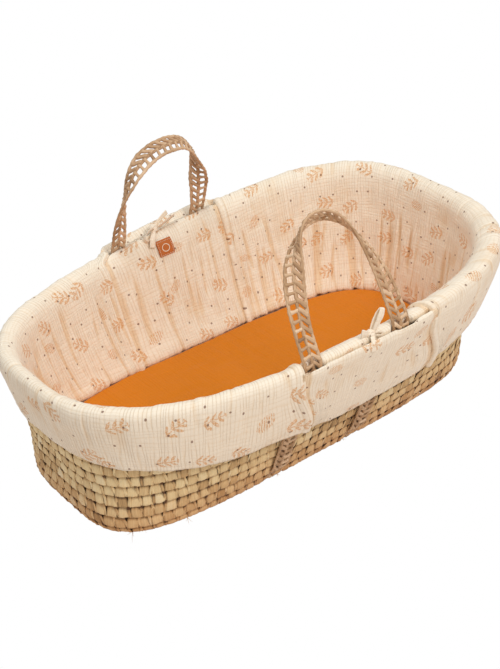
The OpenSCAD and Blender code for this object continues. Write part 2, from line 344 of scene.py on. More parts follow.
class Nodes:
    """A material's node tree, written as expressions."""

    def __init__(self, name, roughness, specular, sheen=0.0):
        self.material = bpy.data.materials.new(name)
        self.material.use_nodes = True
        self.tree = self.material.node_tree
        self.surface = self.tree.nodes["Principled BSDF"]
        for label, value in (("Roughness", roughness), ("Specular IOR Level", specular),
                             ("Sheen Weight", sheen), ("Sheen Roughness", 0.4),
                             ("Sheen Tint", (1, 1, 1, 1))):
            self.surface.inputs[label].default_value = value

    def feed(self, socket, value):
        """Links a Value to an input, or sets the input to a plain number or colour."""
        if isinstance(value, Value):
            self.tree.links.new(value.socket, socket)
        else:
            socket.default_value = value

    def node(self, kind, settings=(), output=0, **inputs):
        """Adds a node. Inputs go by name, or by number as i0, i1 and so on. Gives one output,
        or all of them when output is None."""
        node = self.tree.nodes.new(kind)
        for key, value in dict(settings).items():
            setattr(node, key, value)
        for key, value in inputs.items():
            key = key.replace("_", " ")
            self.feed(node.inputs[int(key[1:]) if key[1:].isdigit() else key], value)
        if output is None:
            return [Value(self, socket) for socket in node.outputs]
        return Value(self, node.outputs[output])

    def math(self, operation, a, b=0.0, clamp=False):
        settings = {"operation": operation, "use_clamp": clamp}
        return self.node("ShaderNodeMath", settings, i0=a, i1=b)

    def vector(self, operation, a, b=(0, 0, 0), scale=1.0):
        return self.node("ShaderNodeVectorMath", {"operation": operation}, i0=a, i1=b, i3=scale)

    def split(self, vector):
        return self.node("ShaderNodeSeparateXYZ", output=None, i0=vector)

    def band(self, value, low, high):
        """0 below low, 1 above high, smooth between them."""
        return self.node("ShaderNodeMapRange", {"interpolation_type": "SMOOTHSTEP"}, Value=value,
                         From_Min=low, From_Max=high)

    def mix(self, factor, a, b, blend="MIX"):
        settings = {"data_type": "RGBA", "blend_type": blend}
        return self.node("ShaderNodeMix", settings, 2, i0=factor, i6=a, i7=b)

    def place(self):
        return self.node("ShaderNodeUVMap", {"uv_map": "place"})

    def scaled(self, vector, x, y):
        return self.node("ShaderNodeMapping", i0=vector, i3=(x, y, 1.0))

    def noise(self, vector, scale=1.0, detail=2.0, roughness=0.5):
        return self.node("ShaderNodeTexNoise", Vector=vector, Scale=scale, Detail=detail,
                         Roughness=roughness)

    def attribute(self, name):
        return self.node("ShaderNodeAttribute", {"attribute_name": name}, 2)

    def ramp(self, value, stops):
        node = self.tree.nodes.new("ShaderNodeValToRGB")
        elements = node.color_ramp.elements
        while len(elements) < len(stops):
            elements.new(0.5)
        for element, (position, colour) in zip(elements, stops):
            element.position = position
            element.color = colour
        self.feed(node.inputs[0], value)
        return Value(self, node.outputs[0])

    def bump(self, height, strength, distance):
        return self.node("ShaderNodeBump", Strength=strength, Distance=distance, Height=height)

    def finish(self, colour, normal):
        self.feed(self.surface.inputs["Base Color"], colour)
        self.feed(self.surface.inputs["Normal"], normal)
        return self.material


def palm_material(name, stops, blush_colour):
    """Dried palm leaf: fine fibres along the leaf, and a tone from leaf to leaf."""
    m = Nodes(name, roughness=0.62, specular=0.35, sheen=0.1)
    place = m.place()
    fibres = m.noise(m.scaled(place, 1500, 90), 1.0, 3.0, 0.6)
    streaks = m.noise(m.scaled(place, 420, 22))
    # The tone attribute holds each leaf's own tone and painted shade where leaves tuck under.
    tone = m.attribute("tone") * 0.62 + streaks * 0.42 - 0.1
    tone = m.math("ADD", tone, m.noise(place, 45.0) * 0.16, clamp=True)
    colour = m.ramp(tone, stops)
    colour = m.mix(m.attribute("blush") * 0.85, colour, blush_colour, "MULTIPLY")
    colour = m.mix(0.6, colour, m.mix(1.0, colour, fibres * 0.5 + 0.75, "MULTIPLY"))
    return m.finish(colour, m.bump(streaks * 0.8 + fibres, 0.55, 0.8 * MM))


def gauze_lines(m, place):
    """Crinkled double gauze: its height, and how deep the lines between its puckers are."""
    pitch = GAUZE_PITCH
    bend = m.noise(m.scaled(place, 0.35 / pitch, 0.05 / pitch))
    sag = m.noise(m.scaled(place, 0.06 / pitch, 0.3 / pitch))
    strong = m.band(m.noise(place, 32.0), 0.3, 0.65)
    x, y, _ = m.split(place)
    depths = []
    for coordinate, wander, step in ((x, bend, pitch), (y, sag, 1.1 * pitch)):
        rib = abs(m.math("SINE", coordinate * (np.pi / step) + wander * 9.0))
        depths.append((1.0 - rib) ** 2.5)
    upright = depths[0] * (strong * 0.8 + 0.35)
    level = depths[1] * (0.6 - strong * 0.35)
    lines = m.math("ADD", upright, level, clamp=True)
    puckers = m.noise(m.scaled(place, 1.1 / pitch, 0.8 / pitch), 1.0, 3.0, 0.6)
    return puckers * 0.8 - lines * 0.5, lines


def oval(a, b, half_a, half_b):
    """Below 1 inside an oval, above 1 outside it."""
    return (a / half_a) ** 2.0 + (b / half_b) ** 2.0


def print_mask(m, place):
    """Leafy sprigs and hatched patches scattered over the cloth, and small dots."""
    voronoi, flat = "ShaderNodeTexVoronoi", {"voronoi_dimensions": "2D"}
    cells = {"Vector": place, "Scale": 1 / MOTIF_PITCH, "Randomness": 0.75}
    turn, choice, _ = m.split(m.node(voronoi, flat, 1, **cells))
    local = m.vector("SUBTRACT", place, m.node(voronoi, flat, 2, **cells))
    local = m.node("ShaderNodeVectorRotate", {"rotation_type": "Z_AXIS"}, Vector=local,
                   Angle=turn * 1.6 - 0.8)
    waver = m.node("ShaderNodeTexNoise", output=1, Vector=place, Scale=190.0)
    local = m.vector("ADD", local, m.vector("SCALE", waver, scale=4 * MM))
    a, b, _ = m.split(m.vector("SUBTRACT", local, (2 * MM, 2 * MM, 0)))
    beside = abs(b)

    # Pairs of slanting leaves along a stem.
    step = m.math("PINGPONG", a - beside * 0.75 + 20 * MM, 5 * MM)
    leaf = 1.0 - m.band(oval(step - 5 * MM, beside - 6 * MM, 3 * MM, 5.5 * MM), 0.75, 1.15)
    stem = 1.0 - m.band(beside, 0.7 * MM, 1.4 * MM)
    inside = 1.0 - m.band(oval(a, b, 17 * MM, 13 * MM), 0.85, 1.1)
    sprig = m.math("MAXIMUM", leaf, stem) * inside

    # A hatched oval patch.
    hatch = m.band(m.math("SINE", (b * 0.6 + a) * 1700.0), -0.6, 0.4)
    patch = (1.0 - m.band(oval(a, b, 14 * MM, 9 * MM), 0.8, 1.05)) * hatch

    motif = m.node("ShaderNodeMix", {"data_type": "FLOAT"}, i2=sprig, i3=patch,
                   i0=m.math("GREATER_THAN", choice, 0.6))
    broken = m.band(m.noise(m.scaled(place, 420, 420)), 0.36, 0.56)
    spots = m.node(voronoi, flat, Vector=place, Scale=1 / DOT_PITCH, Randomness=0.8)
    return motif * (broken * 0.75 + 0.25), 1.0 - m.band(spots, 0.034, 0.06)


def muslin_material(name, cloth, shadow, ink=None, spot=None, depth=0.65):
    """Crinkled double gauze, with a print when ink is given."""
    m = Nodes(name, roughness=0.9, specular=0.15, sheen=0.25)
    place = m.place()
    height, lines = gauze_lines(m, place)
    # Painted shade: along the lines between the puckers, and in the folds that the tone attribute
    # marks.
    colour = m.mix(lines * 0.6, cloth, shadow)
    painted_fold_shade = 1.0 - m.band(m.attribute("tone"), 0.05, 0.5)
    colour = m.mix(painted_fold_shade * 0.55, colour, shadow, "MULTIPLY")
    if ink:
        motif, dots = print_mask(m, place)
        colour = m.mix(motif * 0.75, colour, ink)
        colour = m.mix(dots * 0.8, colour, spot)
    thread = m.noise(m.scaled(place, 900, 900))
    return m.finish(colour, m.bump(thread * 0.12 + height, depth, 1.8 * MM))


def plain_material(name, colour, roughness, scale):
    """Foam or leather with a fine grain."""
    m = Nodes(name, roughness=roughness, specular=0.3)
    grain = m.noise(m.scaled(m.place(), scale, scale), 1.0, 3.0)
    tinted = m.mix(grain * 0.3, colour, srgb(120, 90, 70), "MULTIPLY")
    return m.finish(tinted, m.bump(grain, 0.3, 0.5 * MM))


# --- plaited palm -----------------------------------------------------------------------------

# Height share (0 lower edge, 1 upper edge) and lift from the wall's middle, down one leaf.
LEAF_PROFILE = np.array([(1.12, -0.6), (0.98, 0.2), (0.86, 2.2), (0.7, 4.2), (0.42, 5.2),
                         (0.2, 5.8), (0.08, 5.5), (0.03, 3.2)])
RIB_PROFILE = np.array([(1.22, 3.4), (1.1, 5.4), (0.98, 5.8), (0.8, 5.3), (0.5, 5.2),
                        (0.25, 5.3), (0.06, 4.9), (-0.02, 3.4)])


def leaves(shell, rng, length, place, profile, half_width, stagger, blush, thickness=1.3 * MM,
           crown=0.6 * MM, drift=0.08):
    """A ring of leaf pieces. place(s, h, lift) gives points from the distance along the ring,
    the height share and the lift from the middle of the wall."""
    count = int(round(length / LEAF_PITCH))
    pitch = length / count
    front = np.linspace(-1, 1, 7)
    back = np.linspace(0.9, -0.9, 4)
    a = np.concatenate([front, back])
    is_back = np.concatenate([np.zeros(7), np.ones(4)])
    for k in range(count):
        seed = rng.uniform(0, 1000)
        middle = (k + stagger + rng.uniform(-0.07, 0.07)) * pitch
        lean = rng.uniform(-drift, drift) * pitch
        size = rng.uniform(0.9, 1.08)
        push = rng.uniform(-0.5, 0.5) * MM
        drop = rng.uniform(-0.05, 0.04)
        h = profile[:, :1] + drop * (1 - profile[:, :1])
        lift = profile[:, 1:] * MM + push * smoothstep(1.1, 0.5, h)
        s = middle + a * half_width * size * pitch + lean * (0.5 - h)
        s = s + 0.02 * pitch * np.sin(h * 5 + seed)
        crease = 0.75 * MM * noise(a * 2.3 + seed, h * 0.8) + 0.3 * MM * noise(a * 6 + seed, h * 2)
        rise = crown * (1 - a * a) + crease - is_back * thickness
        points = place(s, h + 0 * a, lift + rise)
        u = np.append(a * half_width * pitch, half_width * pitch) + seed
        v = (profile[:, 0] * 20 * MM)[:, None]
        places = np.stack([u + 0 * v, v + 0 * u], -1)
        tone = np.clip(rng.normal(0.52, 0.2), 0, 1)
        # Painted shade: darker where a leaf tucks under the course above, at its lower tip, towards
        # its sides and on its back.
        hidden = 0.62 * smoothstep(0.7, 1.0, h) + 0.5 * smoothstep(0.08, 0.02, h)
        hidden = hidden + 0.16 * np.abs(a) ** 4 + 0.4 * is_back
        shell.grid(points, places, tone - hidden, blush, closed=True, capped=True)


def over_strap(points):
    """Lifts the points that would lie where a strap passes under the basket."""
    clear = 6 * MM
    z = points[..., 2]
    edge = STRAP_WIDTH / 2
    for i in (FOOT, HEAD):
        near, far = strap_point(i, NEAR, 0.0), strap_point(i, FAR, 0.0)
        along = unit(far - near)
        x, y = points[..., 0] - near[0], points[..., 1] - near[1]
        beside = np.abs(x * along[1] - y * along[0])
        inside = 1 - smoothstep(edge + 1 * MM, edge + 5 * MM, beside)
        z += inside * np.maximum(0, clear - 0.75 * z)
    return points


def course_height(x):
    """Height of one course of the wall."""
    return (wall_top(x) - BINDING_HEIGHT) / COURSES


def course(i, material):
    """Course i of the wall: its leaves and ribs on a core darkened with painted shade."""
    rng = np.random.default_rng(100 + i)

    def middle(t):
        return wall_at(t, (i - 0.5) * course_height(rim_x(t)), HALF_WALL)

    angles, lengths = ring_table(middle)
    length = lengths[-1]

    def place(s, h, lift):
        t = np.interp(s % length, lengths, angles)
        z = (i - 1 + h) * course_height(rim_x(t))
        tuck = 4 * MM * np.clip(1 - z / (20 * MM), 0, 1) ** 2
        near_end = smoothstep(0.5, 0.92, np.abs(angle_share(t)))
        bulge = END_BULGE * near_end * smoothstep(0, 12 * MM, z) * smoothstep(95 * MM, 22 * MM, z)
        points = wall_at(t, np.maximum(z, 0.3 * MM), lift - tuck + bulge)
        return over_strap(points) if i <= 2 else points

    shell = Shell()
    blush = float(np.clip(1.05 - 0.24 * i, 0, 1))
    around = np.linspace(0, length, 361)
    # The core's low tone is painted shade in the gaps between the leaves.
    core = [(0.0, -4.4), (0.5, -4.8), (0.98, -4.4), (0.98, 1.0), (0.5, 1.6), (0.0, 1.0)]
    points = np.stack([place(around[:-1], h + 0 * around[:-1], lift * MM) for h, lift in core], 1)
    shell.grid(np.concatenate([points, points[:1]]), pairs(np.linspace(0, 0.05, 7), around),
               -0.6, blush, closed=True)
    stagger = 0.5 * (i % 2) + rng.uniform(-0.1, 0.1)
    leaves(shell, rng, length, place, LEAF_PROFILE, 0.46, stagger, blush)
    leaves(shell, rng, length, place, RIB_PROFILE, 0.12, stagger + 0.5, blush,
           thickness=1.0 * MM, crown=0.4 * MM, drift=0.25)
    name = f"wall_course_{i:02d}"
    return shell.build(name + "_plait", material, "basket", [name])


def base_mat(material):
    """Flat oval rings of the same plait, on the underside and on top, round a core."""
    shell = Shell()
    rings, width, middle = 7, 20 * MM, 4.5 * MM
    for face in (-1, 1):
        for j in range(rings):
            rng = np.random.default_rng(200 + 10 * j + face)
            outer = -(HALF_WALL + 0.6 * MM) - j * width
            angles, lengths = ring_table(lambda t: wall_at(t, 0 * t, outer - width / 2))

            def place(s, h, lift):
                t = np.interp(s % lengths[-1], lengths, angles)
                points = wall_at(t, 0 * t, outer - (1 - np.clip(h, 0, 1.0)) * width)
                points[..., 2] = middle + face * np.minimum(lift * 0.7, 4.2 * MM)
                return over_strap(points) if face < 0 else points

            stagger = 0.5 * (j % 2)
            leaves(shell, rng, lengths[-1], place, LEAF_PROFILE, 0.44, stagger, 0.7)
            leaves(shell, rng, lengths[-1], place, RIB_PROFILE, 0.15, stagger + 0.5, 0.7,
                   thickness=1.0 * MM, crown=0.5 * MM)
    t = ring_table(lambda t: wall_at(t, 0 * t, 0))[0][::20][:-1]
    levels = [(2.6, 138), (2.6, 70), (2.6, 6), (4.5, 5.2), (6.4, 6), (6.4, 70), (6.4, 138)]
    core = []
    for z, inset in levels:
        points = wall_at(t, 0 * t, -inset * MM)
        points[:, 2] = z * MM
        core.append(over_strap(points) if z < 5 else points)
    core = np.stack(core, 1)
    core = np.concatenate([core, core[:1]])
    places = pairs(np.linspace(0, 0.3, len(levels)), np.arange(len(core)) * 0.005)
    # The core's low tone is painted shade in the gaps between the leaves.
    shell.grid(core, places, 0.15, 0.7)
    return shell.build("base_mat_plait", material, "basket", ["base_mat"])


def rim_binding(material):
    """Leaf wound over the wall's top edge, under the liner."""
    shell = Shell()
    s = np.linspace(0, RIM_LENGTH, 901)
    angle = np.interp(s, RIM_TABLE[1], RIM_TABLE[0])[:, None]
    theta = np.linspace(0, 2 * np.pi, 13)[:-1]
    wound = 1 + 0.1 * np.sin(s[:, None] * 2 * np.pi / (12 * MM) + theta)
    z = wall_top(rim_x(angle)) - 6 * MM + 5.2 * MM * np.sin(theta) * wound
    points = wall_at(angle + 0 * theta, z, 4.5 * MM * np.cos(theta) * wound)
    shell.grid(points, pairs(np.linspace(0, 0.03, 13), s), closed=True)
    return shell.build("rim_binding_wound", material, "basket", ["rim_binding"])


# Where ends of leaf stick out of the wall: x in m, side, height and length in mm.
FIBRE_SPOTS = [(-0.365, NEAR, 5, 28), (-0.35, NEAR, 12, 18), (-0.28, NEAR, 4, 16),
               (-0.1, NEAR, 5, 10), (-0.396, NEAR, 60, 22), (-0.39, FAR, 40, 16),
               (0.05, NEAR, 6, 9), (0.22, NEAR, 22, 12), (0.33, NEAR, 60, 10),
               (0.37, FAR, 30, 12), (0.1, FAR, 8, 12), (-0.2, FAR, 6, 14)]


def loose_fibres(material):
    """Ends of leaf that stick out of the wall."""
    shell = Shell()
    rng = np.random.default_rng(12)
    upwards = np.array((0, 0, 1.0))
    w = np.linspace(0, 1, 9)[:, None]
    for x, side, z, reach in FIBRE_SPOTS:
        t, z = np.array(rim_angle(x, side)), np.array(z * MM)
        root = wall_at(t, z, 3 * MM)
        out = unit(wall_at(t, z, (3 + reach) * MM) - root)
        along = unit(np.cross(out, upwards))
        for _ in range(3):
            bend = rng.uniform(-0.6, 0.6)
            drop = rng.uniform(-0.25, 0.1)
            length = reach * MM * rng.uniform(0.5, 1)
            line = root + length * (out * w + along * bend * w * w
                                    + upwards * (drop * w + 0.25 * w * (1 - w)))
            line[:, 2] = np.maximum(line[:, 2], 0.6 * MM)
            thin = 0.45 * MM * (1 - 0.8 * w[:, 0])
            tube(shell, line, np.broadcast_to(along, line.shape),
                 np.broadcast_to(upwards, line.shape), thin, thin, sides=5,
                 tone=rng.uniform(0.1, 0.8), blush=0.5)
    return shell.build("loose_fibres", material, "basket")


# --- straps and handles -----------------------------------------------------------------------


def strap_point(i, side, z):
    """Centre of strap i on one side of the wall at height z."""
    x = STRAP_X[side][i]
    f = z / wall_top(x)
    u = (x - (1 - f) * BASE_SHIFT) / ((1 - f) * BASE_HALF_LENGTH + f * RIM_HALF_LENGTH)
    y = (1 - f) * (BASE_HALF_WIDTH + STRAP_OFFSET) * outline(u, BASE_POWER)
    y = y + f * (RIM_HALF_WIDTH + STRAP_OFFSET) * (1 + RIM_TAPER * u) * outline(u, RIM_POWER)
    return np.array([x, side * y, z])


def resampled(points, step, extra=None):
    """The polyline at even steps, and with it the values extra at its points."""
    length = running_length(points)
    even = np.linspace(0, length[-1], int(round(length[-1] / step)) + 1)
    line = np.stack([np.interp(even, length, points[:, k]) for k in range(3)], -1)
    return line, None if extra is None else np.interp(even, length, extra)


def softened(values, reach):
    """A line of points averaged with their neighbours, with its ends kept."""
    padded = np.concatenate([2 * values[:1] - values[reach:0:-1], values,
                             2 * values[-1:] - values[-2:-reach - 2:-1]])
    weights = np.hanning(2 * reach + 3)[1:-1]
    weights = weights / weights.sum()
    return np.stack([np.convolve(padded[:, k], weights, "valid") for k in range(3)], -1)


def braid(shell, rng, line, across):
    """Three twisted rails and the links between them, along a line of close points."""
    tangent = unit(np.gradient(line, axis=0))
    across = unit(across - tangent * np.sum(across * tangent, -1, keepdims=True))
    normal = np.cross(tangent, across)
    length = running_length(line)
    total = length[-1]

    def along(s, values):
        return np.stack([np.interp(s, length, values[:, k]) for k in range(3)], -1)

    def wander(s, pitch):
        return noise(s / pitch, s * 0, rng.uniform(0, 99))

    reach = STRAP_WIDTH / 2 - 2.8 * MM
    s = np.linspace(0, total, int(total / (1.6 * MM)))
    for a in (-reach, 0, reach):
        waver = 0.5 * MM * wander(s, 14 * MM)
        half_width = 2.9 * MM * (1 + 0.12 * wander(s, 9 * MM))
        side, out = along(s, across), along(s, normal)
        centre = along(s, line) + side * (a + waver)[:, None]
        tone = 0.55 + 0.3 * wander(s, 30 * MM)[:, None]
        tube(shell, centre, side, out, half_width, 2.0 * MM, twist=total / (11 * MM) * 2 * np.pi,
             lay=0.13, tone=tone)
    w = np.linspace(0, 1, 11)
    for column, half_link, slope in ((-1, 3.3, 0.75), (1, 2.7, 0.1)):
        start = rng.uniform(0.3, 0.6) * LINK_PITCH
        for s0 in np.arange(start, total - 0.3 * LINK_PITCH, LINK_PITCH):
            swing = (smoothstep(0, 1, w) - 0.5) * slope * LINK_PITCH
            s = np.clip(s0 + swing + rng.uniform(-0.7, 0.7) * MM, 0, total)
            a = column * (reach * (1 - w))
            bulge = (0.8 * np.sin(np.pi * w) + 0.5 * np.cos(np.pi * w)) * MM
            out = along(s, normal)
            centre = along(s, line) + along(s, across) * a[:, None] + out * bulge[:, None]
            width = unit(np.cross(out, unit(np.gradient(centre, axis=0))))
            half = half_link * MM * rng.uniform(0.88, 1.12) * (1 + 0.25 * np.abs(2 * w - 1) ** 2)
            tube(shell, centre, width, out, half, 0.78 * half, twist=rng.uniform(4, 6), lay=0.16,
                 tone=float(np.clip(rng.normal(0.55, 0.18), 0, 1)))


def wall_strap(i, material):
    """The strap from one groove of the liner, down the wall, under the base and up."""
    sides = []
    for side in (NEAR, FAR):
        foot = strap_point(i, side, 0.0)
        x = foot[0]
        corner = ((-28, 2.7), (-17, 2.9), (-9, 4.5), (-3.5, 11), (-1.0, 20))
        under = [(x, foot[1] + side * y * MM, z * MM) for y, z in corner]
        top = rim_top(x) - GROOVE_DEPTH
        rise = [strap_point(i, side, z) for z in np.linspace(32 * MM, top, 13)]
        sides.append(np.array(under + rise))
    knots = np.concatenate([sides[0][::-1], sides[1]])
    line, _ = resampled(catmull(knots, np.linspace(0, len(knots) - 1, 900)), 1.5 * MM)
    line = softened(line, 7)
    across = np.broadcast_to((1.0, 0, 0), line.shape)
    shell = Shell()
    braid(shell, np.random.default_rng(30 + i), line, across)
    name = ("strap_foot", "strap_head")[i]
    return shell.build(name + "_braid", material, "basket", [name])


def handle(side, height, lean, sway, squareness, roll, rise, fall, material):
    """The strap's arch and both its legs down into the liner's groove. It bends at the rim.
    sway shifts its top along the rim. The band rolls over by an angle and back again, over the
    shares rise and fall of the arch."""
    feet = [strap_point(i, side, wall_top(STRAP_X[side][i])) for i in (FOOT, HEAD)]
    for foot in feet:
        foot[2] = rim_top(foot[0]) + HINGE_RISE
    along = unit(feet[1] - feet[0])
    middle = (feet[0] + feet[1]) / 2
    half_span = np.linalg.norm(feet[1] - feet[0]) / 2
    upright = unit(np.array((0, 0, 1.0)) - along * along[2])
    outwards = unit(np.cross(along, upright)) * -side
    lean = np.radians(lean)
    up = upright * np.cos(lean) - outwards * np.sin(lean)
    face = outwards * np.cos(lean) + upright * np.sin(lean)
    angle = np.linspace(0, np.pi, 181)[:, None]
    spread = half_span * signed_power(-np.cos(angle), 2 / squareness) + sway * np.sin(angle)
    arch = middle + along * spread + up * height * np.sin(angle) ** (2 / squareness)
    depths = np.linspace(GROOVE_DEPTH, 3 * MM, 6)
    legs = [np.array([strap_point(i, side, rim_top(STRAP_X[side][i]) - d) for d in depths])
            for i in (FOOT, HEAD)]
    path = np.concatenate([legs[0], arch, legs[1][::-1]])
    progress = np.concatenate([np.zeros(6), angle[:, 0] / np.pi, np.ones(6)])
    line, progress = resampled(path, 1.5 * MM, progress)
    line = softened(line, 8)
    turn = np.radians(roll) * smoothstep(*rise, progress) * (1 - smoothstep(*fall, progress))
    turn = turn[:, None]
    outer = unit(np.cross(face, unit(np.gradient(line, axis=0)))) * side
    across = -outer * np.cos(turn) + face * np.sin(turn)
    shell = Shell()
    braid(shell, np.random.default_rng(50 + side), line, across)
    body = "handle_near" if side == NEAR else "handle_far"
    reach = 18 * MM
    ends = (Vector(middle - upright * reach), Vector(middle + upright * reach))
    return shell.build(body + "_braid", material, body, [body], blend=ends)


# --- liner ------------------------------------------------------------------------------------


def mattress_gap(t):
    """Room between the inner panel and the mattress beside it."""
    panel = wall_at(t, MATTRESS_TOP + 6 * MM + 0 * t, -13.3 * MM)
    return np.linalg.norm((panel - mattress_loop(t, 0, 0))[..., :2], axis=-1)


def section_knots(rows, columns):
    """Control points in metres from rows of (off, z) in mm that are numbers or arrays."""
    ones = np.ones(columns)
    return np.array([[off * ones, z * ones] for off, z in rows]).transpose(0, 2, 1) * MM


def near_puff(t):
    """How many mm fuller the rim's padding is: 4 on the near side, none on the far side."""
    return 4 * smoothstep(0.2, -0.6, np.sin(t))


def inner_rows(t, top):
    """Face and back of the inner panel in mm, from beside the mattress to near the rim."""
    puff = near_puff(t)
    swell = np.clip(mattress_gap(t) / MM - 1.5, 0, 22)
    face = [(-8.6, 14), (-8.8, 40), (-9.5 - 0.3 * swell, 58), (-12.5 - 0.95 * swell, 69),
            (-13.4 - 0.95 * swell, 78), (-13.8 - 0.45 * swell, 98), (-14, 140), (-14, top - 60),
            (-14 - 1.2 * puff, top - 36), (-12.6 - 1.9 * puff, top - 18),
            (-7.5 - 1.4 * puff, top - 6 + 0.6 * puff)]
    back = [(-5.4, z) for z in (13, 40, 58, 69, 80, 98, 140, top - 60, top - 36, top - 22)]
    return face, back + [(-5.2, top - 16)]


def full_section(t):
    """Section of the foot and head pieces: inner panel, rolled rim and skirt."""
    x = rim_x(t)
    top, low = rim_top(x) / MM, skirt_low(x) / MM
    middle = (top + low) / 2
    share = x / RIM_HALF_LENGTH
    snug = 8 * smoothstep(-0.6, -0.95, share) + 5 * smoothstep(0.6, 0.95, share)
    puff = near_puff(t)
    face, back = inner_rows(t, top)
    face += [(2 - 0.5 * puff, top + puff), (11, top - 3 + 0.8 * puff), (18 - 0.2 * snug, top - 12),
             (21.5 - 0.4 * snug, top - 28), (23 - 0.8 * snug, middle), (22.5 - snug, low + 24),
             (21.3 - snug, low + 8), (20.5 - snug, low)]
    back += [(2, top - 14.5), (10, top - 15.5), (13.6, top - 20), (14, top - 32),
             (15.5 - 0.6 * snug, middle), (15.5 - 0.8 * snug, low + 24),
             (15.5 - 0.8 * snug, low + 8), (16.5 - snug, low + 1)]
    return section_knots(face, len(t)), section_knots(back, len(t))


def closeness(x, side):
    """1 where a side's two flaps touch, 0 where they part round a strap."""
    foot, head = (smoothstep(16 * MM, 23 * MM, np.abs(x - place)) for place in STRAP_X[side])
    return foot * head


def inner_flap(side, share):
    """Section of an inner flap, whose lip reaches out by a share of the groove's width."""
    def section(t):
        x = rim_x(t)
        top = rim_top(x) / MM
        reach = share * closeness(x, side)
        puff = near_puff(t)
        face, back = inner_rows(t, top)
        face += [(-1 - 0.6 * puff, top - 0.5 + puff),
                 (4 + 4 * reach, top - 3.5 + 2 * reach + 0.6 * puff),
                 (5 + 6 * reach, top - 9 + reach)]
        back += [(-2, top - 14.6), (2 + 2 * reach, top - 14.6), (4.4 + 5 * reach, top - 13)]
        return section_knots(face, len(t)), section_knots(back, len(t))
    return section


def outer_flap(side, share, flare):
    """Section of an outer flap. share closes it over the groove, and flare leans it outwards by
    that many mm."""
    def section(t):
        x = rim_x(t)
        top, low = rim_top(x) / MM, skirt_low(x) / MM
        middle = (top + low) / 2
        from_seam = np.minimum(np.abs(x - SEAM_X[side][0]), np.abs(x - SEAM_X[side][1]))
        spread = flare * smoothstep(0, 30 * MM, from_seam)
        reach = share * closeness(x, side)
        face = [(15.5 + 0.5 * spread - 3 * reach, top - 9 + 2 * reach),
                (18 + spread - 2 * reach, top - 2 + 1.5 * reach + 0.8 * near_puff(t)),
                (23 + spread - reach, top - 4.5 + 2 * reach), (24.5 + spread, top - 14),
                (24 + 0.6 * spread, top - 30), (23.5, middle), (22.7, low + 24), (21.5, low + 8),
                (20.7, low)]
        back = [(14.6 + 0.4 * spread - 2.5 * reach, top - 12),
                (14.4 + 0.4 * spread - 2 * reach, top - 18),
                (14.2 + 0.3 * spread - reach, top - 24), (14.2 + 0.2 * spread, top - 32),
                (14.5, top - 44), (15.5, middle), (15.5, low + 24), (15.5, low + 8),
                (16.5, low + 1)]
        return section_knots(face, len(t)), section_knots(back, len(t))
    return section


def crease(s, v, start, end, width, depth):
    """A soft valley from start to end, with a low ridge beside it, on the cloth."""
    way = np.array(end) - np.array(start)
    size = np.linalg.norm(way)
    way = way / size
    along = ((s - start[0]) * way[0] + (v - start[1]) * way[1]) / size
    beside = (s - start[0]) * way[1] - (v - start[1]) * way[0]
    fade = smoothstep(-0.05, 0.25, along) * smoothstep(1.05, 0.75, along)
    valley = np.exp(-(beside / width) ** 2)
    ridge = 0.6 * np.exp(-((beside - 1.7 * width) / (1.2 * width)) ** 2)
    return depth * fade * (ridge - valley)


def crumple(seed, length, spacing, low, high, depth):
    """Random creases that run roughly up and down a piece of that length: rows for crease()."""
    rng = np.random.default_rng(seed)
    rows = []
    for place in np.arange(0.5 * spacing, length, spacing):
        start = place + rng.uniform(-0.4, 0.4) * spacing
        bottom = rng.uniform(low, low + 0.5 * (high - low))
        top = rng.uniform(bottom + 0.25 * (high - low), high)
        lean = rng.uniform(-14, 14) * MM
        rows.append(((start, bottom), (start + lean, top), rng.uniform(2.6, 4.6),
                     depth * rng.uniform(0.5, 1.2)))
    return rows


def swept(section, s, fullness, shift, inner_shift):
    """The cloth's face and back along the distances s, and the middle between them at the face.
    shift moves the skirt's lower part along the rim, and inner_shift the inner panel's."""
    t = rim_angle_at(s)
    face_knots, back_knots = section(t)
    face_w = even_places(face_knots[:, len(t) // 2], 3.6 * MM)
    back_w = np.linspace(0, len(face_knots) - 1, 34)

    def side(w, knots, other_knots):
        own, other = catmull(knots, w), catmull(other_knots, w)
        centre = (own + other) / 2
        return centre + (own - centre) * fullness[None, :, None], centre

    face, centre = side(face_w, face_knots, back_knots)
    back, _ = side(back_w, back_knots, face_knots)

    def moved(rows):
        """Angles of a grid's points, shifted more the lower they are."""
        fall = smoothstep(20 * MM, 130 * MM, rim_top(rim_x(t)) - rows[..., 1])
        inwards = smoothstep(4 * MM, -9 * MM, rows[..., 0])
        return rim_angle_at(s + fall * shift * (rows[..., 0] > 8 * MM) + inwards * inner_shift)

    angles = moved(face)
    return (wall_at(angles, face[..., 1], face[..., 0]),
            wall_at(moved(back), back[..., 1], back[..., 0]),
            wall_at(angles, centre[..., 1], centre[..., 0]),
            face_knots[0, 0, 0] < 0, face_knots[-1, 0, 0] > 14 * MM)


